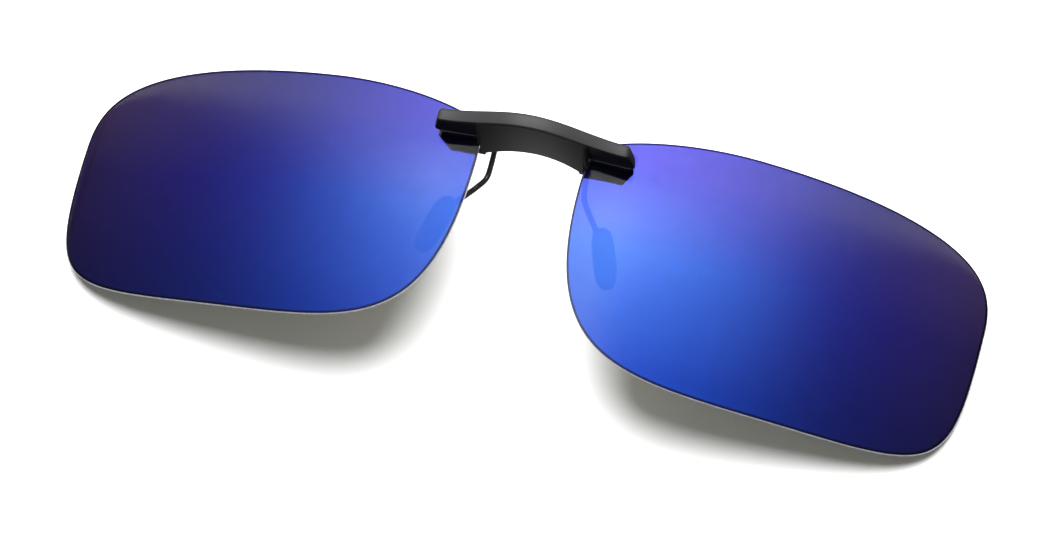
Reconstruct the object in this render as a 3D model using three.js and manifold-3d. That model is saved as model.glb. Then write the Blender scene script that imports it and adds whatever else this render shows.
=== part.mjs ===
// Rimless clip-on sunglasses: two mirrored lenses on an arched bridge bar, with a sprung clip behind it.
//
// The part lies face up, as on a table. Millimetres. +X is to the right as seen from the front,
// +Y is the top of the glasses as worn, and +Z is the way the lenses look. Left and right in the
// names are as seen from the front. Shapes are first drawn about the point on the mid-plane where
// the two lens surfaces would meet, and the whole group is then set down on Z = 0.

import * as THREE from 'three';
import { mergeVertices } from 'three/addons/utils/BufferGeometryUtils.js';
import Module from 'manifold-3d';

// Lenses
const LENS_THICKNESS = 0.8;
const WRAP_SLOPE = 0.05;        // how fast each lens falls away from the mid-plane
const WRAP_BEND = 0.0028;       // 1/mm, bend of the lens surface along X
const LENS_BEND = 0.005;        // 1/mm, bend of the lens surface along Y
const LENS_TWIST = 0.00067;     // 1/mm
const LENS_SIDE_X = 68.35;      // outer side of the lens
const LENS_NOSE_X = 7.8;        // nose side of the lens
const LENS_TOP_Y = 19.2;
const LENS_BOTTOM_Y = -19.05;
const LENS_CENTRE = [38, 0];

// Bridge bar: its front face is a narrow arched strip
const BAR_END_X = 14.3;           // half the length of the front face
const BAR_END_ROUND = 0.6;        // length of the rounded part of each end
const BAR_END_SHRINK = 0.45;      // share of its size that a section loses on that part
const BAR_BEVEL = 0.3;
const DRAFT = 0.9;                // how much further each end reaches at its lower rear corner than in front
const DRAFT_ABOVE = 0.4;          // share of the draft that is left at the upper rear corner
const DRAFT_START_X = 12.5;
const ARCH_HALF_LENGTH = 15;
const BAR_END = { top: 13.9, bottom: 12.0, front: 2.95 };
const ARCH_RISE = { top: 0.4, bottom: 0.2, front: 3.6 };
const BAR_REAR_BOTTOM_Y = 11.9;   // where the underside meets the lens seats
const TONGUE_X = 7.6;             // the middle of the bar reaches back between the lenses
const TONGUE_REAR_Z = -2.6;
const TONGUE_REAR_Y = 11.55;
const TONGUE_DROP = 1.6;
const HOOK = { x: [7.0, 8.1], y: [10.1, 12.0], z: [-2.95, -2.45] };  // behind the nose edge of each lens
const CHEEK_X = 8.2;              // in front of that edge the slanted underside runs on this far
const SIDE_STEP = 0.1;            // the section changes over this much of the bar's length

// Soft seats in front of and behind each lens
const SEAT = 0.4;
const SEAT_CORNER = 0.8;
const GAP = 0.15;                 // between pieces that are clamped together
const SEAT_X = { front: [8.3, 14.7], rear: [8.3, 13.6] };
const FRONT_SEAT_Y = [12.0, 13.9];
const REAR_SEAT_Y = [11.6, 15.1];

// Back plate with the hinge ears
const PLATE_THICKNESS = 1.2;
const PLATE_END_X = 14.5;
const PLATE_MID_Z = -2.9;
const PLATE_Y = { mid: [12.6, 16.9], end: [11.3, 15.3] };
const PLATE_BEVEL = 0.25;

// Screws that clamp seats and lens between the bar and the back plate
const SCREW_X = [10.9, 12.8];
const SCREW_Y = 13.0;
const SCREW_R = 0.5;
const SCREW_HOLE_R = 0.75;
const SCREW_HEAD_R = 0.85;
const SCREW_HEAD = 0.6;
const SCREW_TIP = 0.3;            // length of the narrowed tip
const SLOT_WIDTH = 0.24;
const SLOT_DEPTH = 0.22;
const LENS_HOLE_Z = [-6, 2];      // the holes run right through lenses and seats
const BAR_HOLE_DEPTH = 2.4;

// Hinge of the clip
const PIVOT_Y = 15.2;
const PIVOT_Z = -6.3;
const PIN_R = 0.55;
const PIN_X = [-10.4, 10.7];
const PIN_HEAD_R = 1.05;
const PIN_HEAD_X = [-10.8, -10.05];
const BORE_R = 0.75;
const EAR_X = [8.6, 9.8];
const EAR_R = 1.7;
const EAR_ROOT = { y: [13.1, 16.3], z: -3.9 };
const BARREL_R = 1.45;
const BARREL_X = 7.9;
const WINDOW_X = 2.7;             // room for the spring in the middle of the barrel
const WASHER_X = [8.1, 8.4];
const WASHER_BORE_R = 0.72;
const RETAINER_X = [10.0, 10.35];
const RETAINER_BORE_R = 0.7;
const RING_R = 1.4;

// Lever above the barrel; its foot is drawn from the pivot as (Y, Z) steps
const LEVER_X = 4.4;
const LEVER_FOOT = { rear: [-0.9, -1.1], heel: [-0.3, -2.9], front: [1.1, -0.9] };
const LEVER_ROOT = [16.4, -8.3];
const LEVER_TIP = [18.6, -9.0];
const LEVER_NOSE = 0.35;
const LEVER_THICKNESS = 1.0;
const GRIP_THICKNESS = 0.7;
const GRIP_RIBS = 4;
const GRIP_MARGIN = { root: 0.2, tip: 0.1, side: 0.4 };

// Spring
const SPRING_WIRE_R = 0.2;
const SPRING_COIL_R = 1.3;
const SPRING_TURNS = 5.5;
const SPRING_X = 2.1;
const SPRING_LEG = 1.4;
const SPRING_LEG_SHARE = 0.06;    // share of the wire's run that each leg takes
const SPRING_ROOM = 0.4;

// Wire arms and their pads
const WIRE_R = 0.44;
const WIRE_X = 7.1;
const WIRE_HOLE_R = 0.64;
const WIRE_HOLE_Z = -9.03;
const WIRE_HOLE_LENGTH = 6;
const WIRE_SCREW_Y = 14.9;
const WIRE_SCREW = { shankR: 0.4, headR: 0.75, head: 0.45, length: 0.5, holeR: 0.55 };
const BOSS = { x: [6.2, 7.95], y: [13.7, 16.0], z: [-10.1, -6.6] };
const WIRE_ROUTE = [
  [7.1, 15.6, -9.0],
  [7.1, 13.3, -9.1],
  [7.15, 11.0, -9.6],
  [7.4, 9.2, -10.1],
  [8.5, 7.2, -9.7],
  [9.9, 5.2, -9.2],
  [11.2, 3.2, -8.85],
  [12.4, 0.9, -9.0],
  [13.2, -1.2, -9.4],
];
const PAD_TOP = [11.3, 4.6, -8.1];
const PAD_BOTTOM = [14.2, -4.0, -9.9];
const PAD_WIDTH = 3.4;
const PAD_DEPTH = 2.6;
const PAD_FACE = 0.95;            // from the pad's middle to its flat face
const PAD_BORE_R = 0.64;
const PAD_BORE_END_R = 0.69;

const wasm = await Module();
wasm.setup();

// Materials

function material(color, roughness, metalness) {
  return new THREE.MeshStandardMaterial({ color, roughness, metalness });
}

const MIRROR_BLUE = [0x2a35c8, 0.08, 0.9];
const BLACK_PLASTIC = [0x1b1b1c, 0.5, 0];
const SEAT_RUBBER = [0x161616, 0.75, 0];
const BLACK_RUBBER = [0x101011, 0.8, 0];
const BLACK_WIRE = [0x0c0c0d, 0.25, 0.6];
const STEEL = [0x9a9ca0, 0.35, 1];

// Solids

/** A geometry cut down to its positions, with shared corners merged. */
function plain(geometry) {
  const bare = geometry.clone();
  bare.deleteAttribute('normal');
  bare.deleteAttribute('uv');
  return mergeVertices(bare, 1e-5);
}

function toSolid(geometry) {
  const merged = plain(geometry);
  return new wasm.Manifold(new wasm.Mesh({
    numProp: 3,
    vertProperties: new Float32Array(merged.attributes.position.array),
    triVerts: new Uint32Array(merged.index.array),
  }));
}

function toGeometry(solid) {
  const mesh = solid.getMesh();
  const geometry = new THREE.BufferGeometry();
  geometry.setAttribute('position', new THREE.BufferAttribute(mesh.vertProperties, 3));
  geometry.setIndex(new THREE.BufferAttribute(mesh.triVerts, 1));
  return geometry;
}

function join(...geometries) {
  return toGeometry(geometries.map(toSolid).reduce((whole, piece) => whole.add(piece)));
}

function cut(geometry, ...cutters) {
  return toGeometry(cutters.map(toSolid).reduce((left, cutter) => left.subtract(cutter), toSolid(geometry)));
}

/** The same shape on the other side of the mid-plane. */
function mirrored(geometry) {
  const other = plain(geometry);
  other.scale(-1, 1, 1);
  const index = other.index.array;
  for (let i = 0; i < index.length; i += 3) {
    [index[i + 1], index[i + 2]] = [index[i + 2], index[i + 1]];
  }
  return other;
}

/** A closed skin over rings of equally many points, with a flat fan on each end. */
function loft(rings) {
  const count = rings[0].length;
  const positions = rings.flat().flatMap((p) => [p.x, p.y, p.z]);
  const triangles = [];
  for (let ring = 0; ring + 1 < rings.length; ring += 1) {
    for (let i = 0; i < count; i += 1) {
      const a = ring * count + i;
      const b = ring * count + ((i + 1) % count);
      triangles.push(a, b, b + count, a, b + count, a + count);
    }
  }
  const capCentre = (ring) => {
    const centre = new THREE.Vector3();
    ring.forEach((p) => centre.addScaledVector(p, 1 / count));
    positions.push(centre.x, centre.y, centre.z);
    return positions.length / 3 - 1;
  };
  const first = capCentre(rings[0]);
  const last = capCentre(rings[rings.length - 1]);
  const lastStart = (rings.length - 1) * count;
  for (let i = 0; i < count; i += 1) {
    const next = (i + 1) % count;
    triangles.push(first, next, i, last, lastStart + i, lastStart + next);
  }
  const geometry = new THREE.BufferGeometry();
  geometry.setAttribute('position', new THREE.Float32BufferAttribute(positions, 3));
  geometry.setIndex(triangles);
  return geometry;
}

/** A thin body inside an outline (anticlockwise from the front), between two height functions of x and y. */
function sheet(outline, centre, frontZ, backZ, steps) {
  const at = (p, k, height) => {
    const x = centre[0] + (p.x - centre[0]) * k;
    const y = centre[1] + (p.y - centre[1]) * k;
    return new THREE.Vector3(x, y, height(x, y));
  };
  const shares = Array.from({ length: steps }, (_, i) => (i + 1) / (steps + 1));
  const rings = [
    ...shares.map((k) => outline.map((p) => at(p, k, backZ))),
    outline.map((p) => at(p, 1, backZ)),
    outline.map((p) => at(p, 1, frontZ)),
    ...shares.reverse().map((k) => outline.map((p) => at(p, k, frontZ))),
  ];
  const geometry = loft(rings);
  const array = geometry.attributes.position.array;
  const caps = array.length / 3 - 2;
  array.set([...centre, backZ(...centre)], caps * 3);
  array.set([...centre, frontZ(...centre)], caps * 3 + 3);
  return geometry;
}

/** A round bar along Z from z0 to z1. */
function rodZ(x, y, radius, z0, z1, sides = 14) {
  const rod = new THREE.CylinderGeometry(radius, radius, z1 - z0, sides);
  rod.rotateX(Math.PI / 2);
  rod.translate(x, y, (z0 + z1) / 2);
  return rod;
}

/** A round bar along X about the hinge axis. */
function rodX(radius, x0, x1, sides = 20) {
  const rod = new THREE.CylinderGeometry(radius, radius, x1 - x0, sides);
  rod.rotateZ(Math.PI / 2);
  rod.translate((x0 + x1) / 2, PIVOT_Y, PIVOT_Z);
  return rod;
}

function block([x0, x1], [y0, y1], [z0, z1]) {
  const box = new THREE.BoxGeometry(x1 - x0, y1 - y0, z1 - z0);
  box.translate((x0 + x1) / 2, (y0 + y1) / 2, (z0 + z1) / 2);
  return box;
}

/** A shape drawn in (Y, Z), made x0 to x1 thick along X. */
function extrudeAlongX(shape, x0, x1) {
  const body = new THREE.ExtrudeGeometry(shape, { depth: x1 - x0, bevelEnabled: false, curveSegments: 10 });
  body.applyMatrix4(new THREE.Matrix4().set(
    0, 0, 1, x0,
    1, 0, 0, 0,
    0, 1, 0, 0,
    0, 0, 0, 1,
  ));
  return body;
}

function roundedRectangle([x0, x1], [y0, y1], radius) {
  const shape = new THREE.Shape();
  shape.absarc(x1 - radius, y0 + radius, radius, -Math.PI / 2, 0);
  shape.absarc(x1 - radius, y1 - radius, radius, 0, Math.PI / 2);
  shape.absarc(x0 + radius, y1 - radius, radius, Math.PI / 2, Math.PI);
  shape.absarc(x0 + radius, y0 + radius, radius, Math.PI, Math.PI * 1.5);
  shape.closePath();
  return shape;
}

// Lenses

/** How far the front surface of a lens lies behind the meeting point on the mid-plane. */
function lensDepth(x, y) {
  const across = Math.abs(x);
  return WRAP_SLOPE * across + WRAP_BEND * across * across + LENS_BEND * y * y + LENS_TWIST * across * y;
}

/** Right-hand lens, anticlockwise from the middle of its top edge. */
function lensOutline() {
  const shape = new THREE.Shape();
  shape.moveTo(32.5, LENS_TOP_Y);
  shape.bezierCurveTo(20.5, LENS_TOP_Y, 11.9, 16.1, 10.6, 15.3);
  shape.bezierCurveTo(9.1, 14.3, LENS_NOSE_X, 12.5, LENS_NOSE_X, 8);
  shape.bezierCurveTo(LENS_NOSE_X, -18.8, 19, LENS_BOTTOM_Y, 43.2, LENS_BOTTOM_Y);
  shape.bezierCurveTo(66.4, LENS_BOTTOM_Y, LENS_SIDE_X, -18.4, LENS_SIDE_X, 2.4);
  shape.bezierCurveTo(LENS_SIDE_X, 9.3, 68.6, LENS_TOP_Y, 32.5, LENS_TOP_Y);
  const points = shape.getPoints(13);
  points.pop();
  return points;
}

function screwHoles() {
  return SCREW_X.map((x) => rodZ(x, SCREW_Y, SCREW_HOLE_R, ...LENS_HOLE_Z));
}

function makeLens() {
  const front = (x, y) => -lensDepth(x, y);
  const back = (x, y) => -lensDepth(x, y) - LENS_THICKNESS;
  return cut(sheet(lensOutline(), LENS_CENTRE, front, back, 3), ...screwHoles());
}

/** A soft seat; rise is the height of its back over the front surface of the lens. */
function makeSeat(spanX, spanY, rise) {
  const outline = roundedRectangle(spanX, spanY, SEAT_CORNER).getPoints(3);
  const unique = outline.filter((p, i) => i === 0 || p.distanceTo(outline[i - 1]) > 1e-4);
  if (unique[0].distanceTo(unique[unique.length - 1]) < 1e-4) {
    unique.pop();
  }
  const centre = [(spanX[0] + spanX[1]) / 2, (spanY[0] + spanY[1]) / 2];
  const front = (x, y) => -lensDepth(x, y) + rise + SEAT;
  const back = (x, y) => -lensDepth(x, y) + rise;
  return cut(sheet(unique, centre, front, back, 1), ...screwHoles());
}

// Bridge bar

/** Stations from the right end, whose x values are given, through the mid-plane to the left end. */
function stationsFor(rightHalf) {
  return [...rightHalf, 0, ...rightHalf.map((x) => -x).reverse()];
}

/** 1 at the mid-plane and 0 from the ends of the arch outwards, in one smooth wave. */
function archShare(x) {
  const share = Math.min(Math.abs(x) / ARCH_HALF_LENGTH, 1);
  return (1 + Math.cos(Math.PI * share)) / 2;
}

/** The bar's section at x: front face, top, rear and underside, in that order. */
function barSection(x) {
  const share = archShare(x);
  const top = BAR_END.top + ARCH_RISE.top * share;
  const bottom = BAR_END.bottom + ARCH_RISE.bottom * share;
  const front = BAR_END.front + ARCH_RISE.front * share;
  const onTongue = Math.abs(x) <= TONGUE_X;
  const rearZ = onTongue ? TONGUE_REAR_Z : -lensDepth(x, BAR_REAR_BOTTOM_Y) + 2 * GAP + SEAT;
  const heelY = TONGUE_REAR_Y - TONGUE_DROP * Math.min(Math.abs(x) / TONGUE_X, 1) ** 2;
  const underside = THREE.MathUtils.mapLinear(rearZ, front, TONGUE_REAR_Z, bottom, heelY);
  const rearY = Math.abs(x) <= CHEEK_X ? underside : BAR_REAR_BOTTOM_Y;
  const corners = [
    [bottom + BAR_BEVEL, front],
    [top - BAR_BEVEL, front],
    [top, front - BAR_BEVEL],
    [top, rearZ + BAR_BEVEL],
    [top - BAR_BEVEL, rearZ],
    [rearY + BAR_BEVEL, rearZ],
    [rearY, rearZ + BAR_BEVEL],
    [bottom, front - BAR_BEVEL],
  ];
  const edge = Math.max(0, Math.abs(x) - (BAR_END_X - BAR_END_ROUND)) / BAR_END_ROUND;
  const shrink = 1 - BAR_END_SHRINK * edge * edge;
  const draft = DRAFT * Math.max(0, Math.abs(x) - DRAFT_START_X) / (BAR_END_X - DRAFT_START_X);
  const middle = [(rearY + top) / 2, (front + rearZ) / 2];
  const lower = (y) => THREE.MathUtils.mapLinear(y, top, rearY, DRAFT_ABOVE, 1);
  return corners.map(([y, z]) => new THREE.Vector3(
    x + Math.sign(x) * draft * lower(y) * (front - z) / (front - rearZ),
    middle[0] + (y - middle[0]) * shrink,
    middle[1] + (z - middle[1]) * shrink,
  ));
}

function makeBar() {
  const ends = [BAR_END_X, 14.0, 13.7, 12.5, 11, 9.5];
  const sides = [CHEEK_X + SIDE_STEP, CHEEK_X, TONGUE_X + SIDE_STEP, TONGUE_X];
  const half = [...ends, ...sides, 6, 4.8, 3.6, 2.4, 1.2];
  const bar = loft(stationsFor(half).map(barSection));
  const hook = block(HOOK.x, HOOK.y, HOOK.z);
  const holes = [];
  for (const side of [-1, 1]) {
    for (const x of SCREW_X) {
      const rear = -lensDepth(x, BAR_REAR_BOTTOM_Y) + 2 * GAP + SEAT;
      holes.push(rodZ(side * x, SCREW_Y, SCREW_HOLE_R, rear - 1, rear + BAR_HOLE_DEPTH));
    }
  }
  return cut(join(bar, hook, mirrored(hook)), ...holes);
}

// Back plate

function plateFrontZ(x, y) {
  return Math.min(PLATE_MID_Z, -lensDepth(x, y) - LENS_THICKNESS - SEAT - 2 * GAP);
}

function plateSection(x) {
  const share = archShare(x);
  const bottom = THREE.MathUtils.lerp(PLATE_Y.end[0], PLATE_Y.mid[0], share);
  const top = THREE.MathUtils.lerp(PLATE_Y.end[1], PLATE_Y.mid[1], share);
  const front = plateFrontZ(x, top);
  const rear = front - PLATE_THICKNESS;
  return [
    [bottom + PLATE_BEVEL, front],
    [top - PLATE_BEVEL, front],
    [top, front - PLATE_BEVEL],
    [top, rear + PLATE_BEVEL],
    [top - PLATE_BEVEL, rear],
    [bottom + PLATE_BEVEL, rear],
    [bottom, rear + PLATE_BEVEL],
    [bottom, front - PLATE_BEVEL],
  ].map(([y, z]) => new THREE.Vector3(x, y, z));
}

function earShape() {
  const shape = new THREE.Shape();
  shape.absarc(PIVOT_Y, PIVOT_Z, EAR_R, -Math.PI, 0);
  shape.lineTo(EAR_ROOT.y[1], EAR_ROOT.z);
  shape.lineTo(EAR_ROOT.y[0], EAR_ROOT.z);
  shape.closePath();
  return shape;
}

function makePlate() {
  const half = [PLATE_END_X, 12.9, 11.2, 9.6, 8, 6.4, 4.8, 3.2, 1.6];
  const stations = stationsFor(half);
  const ears = [-1, 1].map((side) => extrudeAlongX(
    earShape(),
    side < 0 ? -EAR_X[1] : EAR_X[0],
    side < 0 ? -EAR_X[0] : EAR_X[1],
  ));
  const holes = [-1, 1].flatMap((side) => SCREW_X.map((x) => rodZ(side * x, SCREW_Y, SCREW_HOLE_R, -9, 0)));
  return cut(join(loft(stations.map(plateSection)), ...ears), rodX(BORE_R, -12, 12), ...holes);
}

// Fasteners

/** A slotted pan-head screw whose head sits under z = 0 and whose shank runs up +Z. */
function makeScrew(shankR, headR, head, length) {
  const profile = [
    [0, -head],
    [headR * 0.75, -head],
    [headR, -head * 0.6],
    [headR, 0],
    [shankR, 0],
    [shankR, length - SCREW_TIP],
    [shankR * 0.5, length],
    [0, length],
  ].map(([r, y]) => new THREE.Vector2(r, y));
  const body = new THREE.LatheGeometry(profile, 14);
  body.rotateX(Math.PI / 2);
  const across = [-headR * 1.2, headR * 1.2];
  const slot = block(across, [-SLOT_WIDTH / 2, SLOT_WIDTH / 2], [-head - SLOT_DEPTH, -head + SLOT_DEPTH]);
  return cut(body, slot);
}

function makeLensScrew(x) {
  const seatZ = plateFrontZ(x, PLATE_Y.end[1]) - PLATE_THICKNESS - GAP;
  const tipZ = -lensDepth(x, BAR_REAR_BOTTOM_Y) + 2 * GAP + SEAT + BAR_HOLE_DEPTH - 0.4;
  const screw = makeScrew(SCREW_R, SCREW_HEAD_R, SCREW_HEAD, tipZ - seatZ);
  screw.translate(x, SCREW_Y, seatZ);
  return screw;
}

/** A closed ring about the hinge axis. */
function ringX(inner, outer, x0, x1) {
  const profile = [
    new THREE.Vector2(inner, x0),
    new THREE.Vector2(outer, x0),
    new THREE.Vector2(outer, x1),
    new THREE.Vector2(inner, x1),
    new THREE.Vector2(inner, x0),
  ];
  const ring = new THREE.LatheGeometry(profile, 20);
  ring.rotateZ(-Math.PI / 2);
  ring.translate(0, PIVOT_Y, PIVOT_Z);
  return ring;
}

function makePin() {
  return join(rodX(PIN_R, ...PIN_X), rodX(PIN_HEAD_R, ...PIN_HEAD_X));
}

// Spring

/** The coil from its front point round to the back, then the two straight legs up from its ends. */
class SpringCurve extends THREE.Curve {
  getPoint(t, target = new THREE.Vector3()) {
    const share = SPRING_LEG_SHARE;
    const inner = THREE.MathUtils.clamp((t - share) / (1 - 2 * share), 0, 1);
    const angle = -Math.PI * 2 * SPRING_TURNS * inner;
    const past = Math.max(0, share - t, t - 1 + share) / share;
    return target.set(
      THREE.MathUtils.lerp(-SPRING_X, SPRING_X, inner),
      PIVOT_Y + SPRING_COIL_R * Math.sin(angle) + SPRING_LEG * past,
      PIVOT_Z + SPRING_COIL_R * Math.cos(angle),
    );
  }
}

function circleShape(radius, sides) {
  const points = Array.from({ length: sides }, (_, i) => {
    const angle = (Math.PI * 2 * i) / sides;
    return new THREE.Vector2(radius * Math.cos(angle), radius * Math.sin(angle));
  });
  return new THREE.Shape(points);
}

function makeSpring() {
  return new THREE.ExtrudeGeometry(circleShape(SPRING_WIRE_R, 6), {
    steps: 84,
    bevelEnabled: false,
    extrudePath: new SpringCurve(),
  });
}

// Clip: lever, wires and pads

function leverShape() {
  const [rootY, rootZ] = LEVER_ROOT;
  const [tipY, tipZ] = LEVER_TIP;
  const shape = new THREE.Shape();
  const { rear, heel, front } = LEVER_FOOT;
  shape.moveTo(PIVOT_Y + rear[0], PIVOT_Z + rear[1]);
  shape.lineTo(PIVOT_Y + heel[0], PIVOT_Z + heel[1]);
  shape.lineTo(rootY, rootZ - LEVER_THICKNESS);
  shape.lineTo(tipY, tipZ - LEVER_THICKNESS);
  shape.lineTo(tipY + LEVER_NOSE, tipZ - LEVER_THICKNESS / 2);
  shape.lineTo(tipY, tipZ);
  shape.lineTo(rootY, rootZ);
  shape.lineTo(PIVOT_Y + front[0], PIVOT_Z + front[1]);
  shape.closePath();
  return shape;
}

function makeLever() {
  const cheeks = [-1, 1].flatMap((side) => {
    const at = (a, b) => (side < 0 ? [-b, -a] : [a, b]);
    return [
      rodX(BARREL_R, ...at(WINDOW_X, BARREL_X)),
      extrudeAlongX(leverShape(), ...at(WINDOW_X, LEVER_X)),
      block(at(...BOSS.x), BOSS.y, BOSS.z),
    ];
  });
  const web = extrudeAlongX(leverShape(), -LEVER_X, LEVER_X);
  const window = rodX(SPRING_COIL_R + SPRING_WIRE_R + SPRING_ROOM, -WINDOW_X, WINDOW_X);
  const legRoom = block([-WINDOW_X, WINDOW_X], [PIVOT_Y - 1, LEVER_ROOT[0] + 0.3], [PIVOT_Z - 1.8, PIVOT_Z]);
  const body = join(cut(web, window, legRoom), ...cheeks);
  const wireHoles = [-1, 1].map((side) => {
    const hole = new THREE.CylinderGeometry(WIRE_HOLE_R, WIRE_HOLE_R, WIRE_HOLE_LENGTH, 16);
    hole.translate(side * WIRE_X, WIRE_SCREW_Y, WIRE_HOLE_Z);
    return hole;
  });
  const screwHolesBack = [-1, 1].map((side) => rodZ(side * WIRE_X, WIRE_SCREW_Y, WIRE_SCREW.holeR, -12, -9));
  return cut(body, rodX(BORE_R, -10, 10), ...wireHoles, ...screwHolesBack);
}

function makeGrip() {
  const [rootY, rootZ] = LEVER_ROOT;
  const [tipY, tipZ] = LEVER_TIP;
  const slope = (tipZ - rootZ) / (tipY - rootY);
  const backAt = (y) => rootZ - LEVER_THICKNESS - GAP + slope * (y - rootY);
  const start = rootY + GRIP_MARGIN.root;
  const end = tipY - GRIP_MARGIN.tip;
  const pitch = (end - start) / GRIP_RIBS;
  const shape = new THREE.Shape();
  shape.moveTo(start, backAt(start));
  for (let rib = 0; rib < GRIP_RIBS; rib += 1) {
    const y = start + rib * pitch;
    shape.lineTo(y + 0.1 * pitch, backAt(y) - GRIP_THICKNESS);
    shape.lineTo(y + 0.6 * pitch, backAt(y) - GRIP_THICKNESS);
    shape.lineTo(y + 0.75 * pitch, backAt(y) - GRIP_THICKNESS * 0.6);
  }
  shape.lineTo(end, backAt(end));
  shape.closePath();
  return extrudeAlongX(shape, -LEVER_X + GRIP_MARGIN.side, LEVER_X - GRIP_MARGIN.side);
}

/** A round wire, or the bore for it, along the route from the lever to the pad. */
function alongRoute(radius) {
  const route = new THREE.CatmullRomCurve3(WIRE_ROUTE.map((p) => new THREE.Vector3(...p)), false, 'centripetal');
  return new THREE.ExtrudeGeometry(circleShape(radius, 8), { steps: 28, bevelEnabled: false, extrudePath: route });
}

/** A long oval pad from PAD_TOP to PAD_BOTTOM, with a flat face towards the lens and a bore for the wire. */
function makePad() {
  const top = new THREE.Vector3(...PAD_TOP);
  const bottom = new THREE.Vector3(...PAD_BOTTOM);
  const length = top.distanceTo(bottom);
  const pad = new THREE.SphereGeometry(1, 18, 12);
  const position = pad.attributes.position;
  for (let i = 0; i < position.count; i += 1) {
    const rise = position.getY(i);
    const around = Math.sqrt(Math.max(0, 1 - rise * rise));
    const fuller = around > 0 ? (1 - rise ** 4) ** 0.5 / around : 1;
    position.setX(i, position.getX(i) * fuller * PAD_WIDTH / 2);
    position.setZ(i, position.getZ(i) * fuller * PAD_DEPTH / 2);
    position.setY(i, rise * length / 2);
  }
  const along = top.clone().sub(bottom).normalize();
  const facing = new THREE.Vector3(0, 0, 1);
  const across = new THREE.Vector3().crossVectors(along, facing).normalize();
  const outward = new THREE.Vector3().crossVectors(across, along);
  const frame = new THREE.Matrix4().makeBasis(across, along, outward);
  frame.setPosition(top.clone().add(bottom).multiplyScalar(0.5));
  pad.applyMatrix4(frame);
  const beyondFace = block([-PAD_WIDTH, PAD_WIDTH], [-length, length], [PAD_FACE, PAD_DEPTH]);
  beyondFace.applyMatrix4(frame);
  return cut(pad, beyondFace, alongRoute(PAD_BORE_R), boreEnd());
}

/** Room past the end of the wire inside its pad. */
function boreEnd() {
  const end = new THREE.SphereGeometry(PAD_BORE_END_R, 10, 8);
  end.translate(...WIRE_ROUTE[WIRE_ROUTE.length - 1]);
  return end;
}

function makeWireScrew() {
  const screw = makeScrew(WIRE_SCREW.shankR, WIRE_SCREW.headR, WIRE_SCREW.head, WIRE_SCREW.length);
  screw.translate(WIRE_X, WIRE_SCREW_Y, BOSS.z[0] - GAP);
  return screw;
}

// Assembly

const sunglasses = new THREE.Group();

function add(name, geometry, finish) {
  const mesh = new THREE.Mesh(geometry, material(...finish));
  mesh.name = name;
  sunglasses.add(mesh);
}

function addPair(name, geometry, finish) {
  add(`${name}_right`, geometry, finish);
  add(`${name}_left`, mirrored(geometry), finish);
}

add('bridge_bar', makeBar(), BLACK_PLASTIC);
add('bridge_back_plate', makePlate(), BLACK_PLASTIC);
addPair('lens', makeLens(), MIRROR_BLUE);
addPair('front_seat', makeSeat(SEAT_X.front, FRONT_SEAT_Y, GAP), SEAT_RUBBER);
addPair('rear_seat', makeSeat(SEAT_X.rear, REAR_SEAT_Y, -LENS_THICKNESS - GAP - SEAT), SEAT_RUBBER);
addPair('lens_screw_inner', makeLensScrew(SCREW_X[0]), STEEL);
addPair('lens_screw_outer', makeLensScrew(SCREW_X[1]), STEEL);
add('hinge_pin', makePin(), STEEL);
add('pin_retainer', ringX(RETAINER_BORE_R, RING_R, ...RETAINER_X), STEEL);
addPair('hinge_washer', ringX(WASHER_BORE_R, RING_R, ...WASHER_X), STEEL);
add('clip_spring', makeSpring(), STEEL);
add('clip_lever', makeLever(), BLACK_PLASTIC);
add('lever_grip', makeGrip(), BLACK_RUBBER);
addPair('wire_arm', alongRoute(WIRE_R), BLACK_WIRE);
addPair('grip_pad', makePad(), BLACK_RUBBER);
addPair('wire_screw', makeWireScrew(), STEEL);

const extent = new THREE.Box3().setFromObject(sunglasses);
sunglasses.position.set(0, -(extent.min.y + extent.max.y) / 2, -extent.min.z);

export default sunglasses;
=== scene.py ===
import math

import bmesh
import bpy
from mathutils import Matrix, Vector


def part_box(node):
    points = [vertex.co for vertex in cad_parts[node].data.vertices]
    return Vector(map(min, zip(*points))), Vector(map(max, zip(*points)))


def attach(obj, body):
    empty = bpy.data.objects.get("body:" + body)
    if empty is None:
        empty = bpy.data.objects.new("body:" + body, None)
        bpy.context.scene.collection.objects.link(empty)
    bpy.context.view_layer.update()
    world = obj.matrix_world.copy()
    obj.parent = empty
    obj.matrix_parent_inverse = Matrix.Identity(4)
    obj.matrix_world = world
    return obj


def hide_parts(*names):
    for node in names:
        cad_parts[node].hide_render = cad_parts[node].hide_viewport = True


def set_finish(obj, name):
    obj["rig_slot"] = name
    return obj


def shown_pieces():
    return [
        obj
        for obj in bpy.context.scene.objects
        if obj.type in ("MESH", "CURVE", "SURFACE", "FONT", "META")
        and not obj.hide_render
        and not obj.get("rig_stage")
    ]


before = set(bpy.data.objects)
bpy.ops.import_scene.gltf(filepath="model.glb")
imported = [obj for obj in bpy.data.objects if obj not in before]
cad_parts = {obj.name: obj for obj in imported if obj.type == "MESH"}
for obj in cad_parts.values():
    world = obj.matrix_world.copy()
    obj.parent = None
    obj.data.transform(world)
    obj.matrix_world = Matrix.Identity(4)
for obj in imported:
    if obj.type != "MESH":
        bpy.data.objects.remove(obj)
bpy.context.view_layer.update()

# Rimless clip-on sunglasses lying face up on a white table.
#
# Shapes are drawn in millimetres about the point on the mid-plane where the two lens surfaces would
# meet: +X to the right as seen from the front, +Y the top as worn, +Z the way the lenses look.
# place() moves them into the frame. Left and right are as seen from the front.

MM = 0.001

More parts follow.
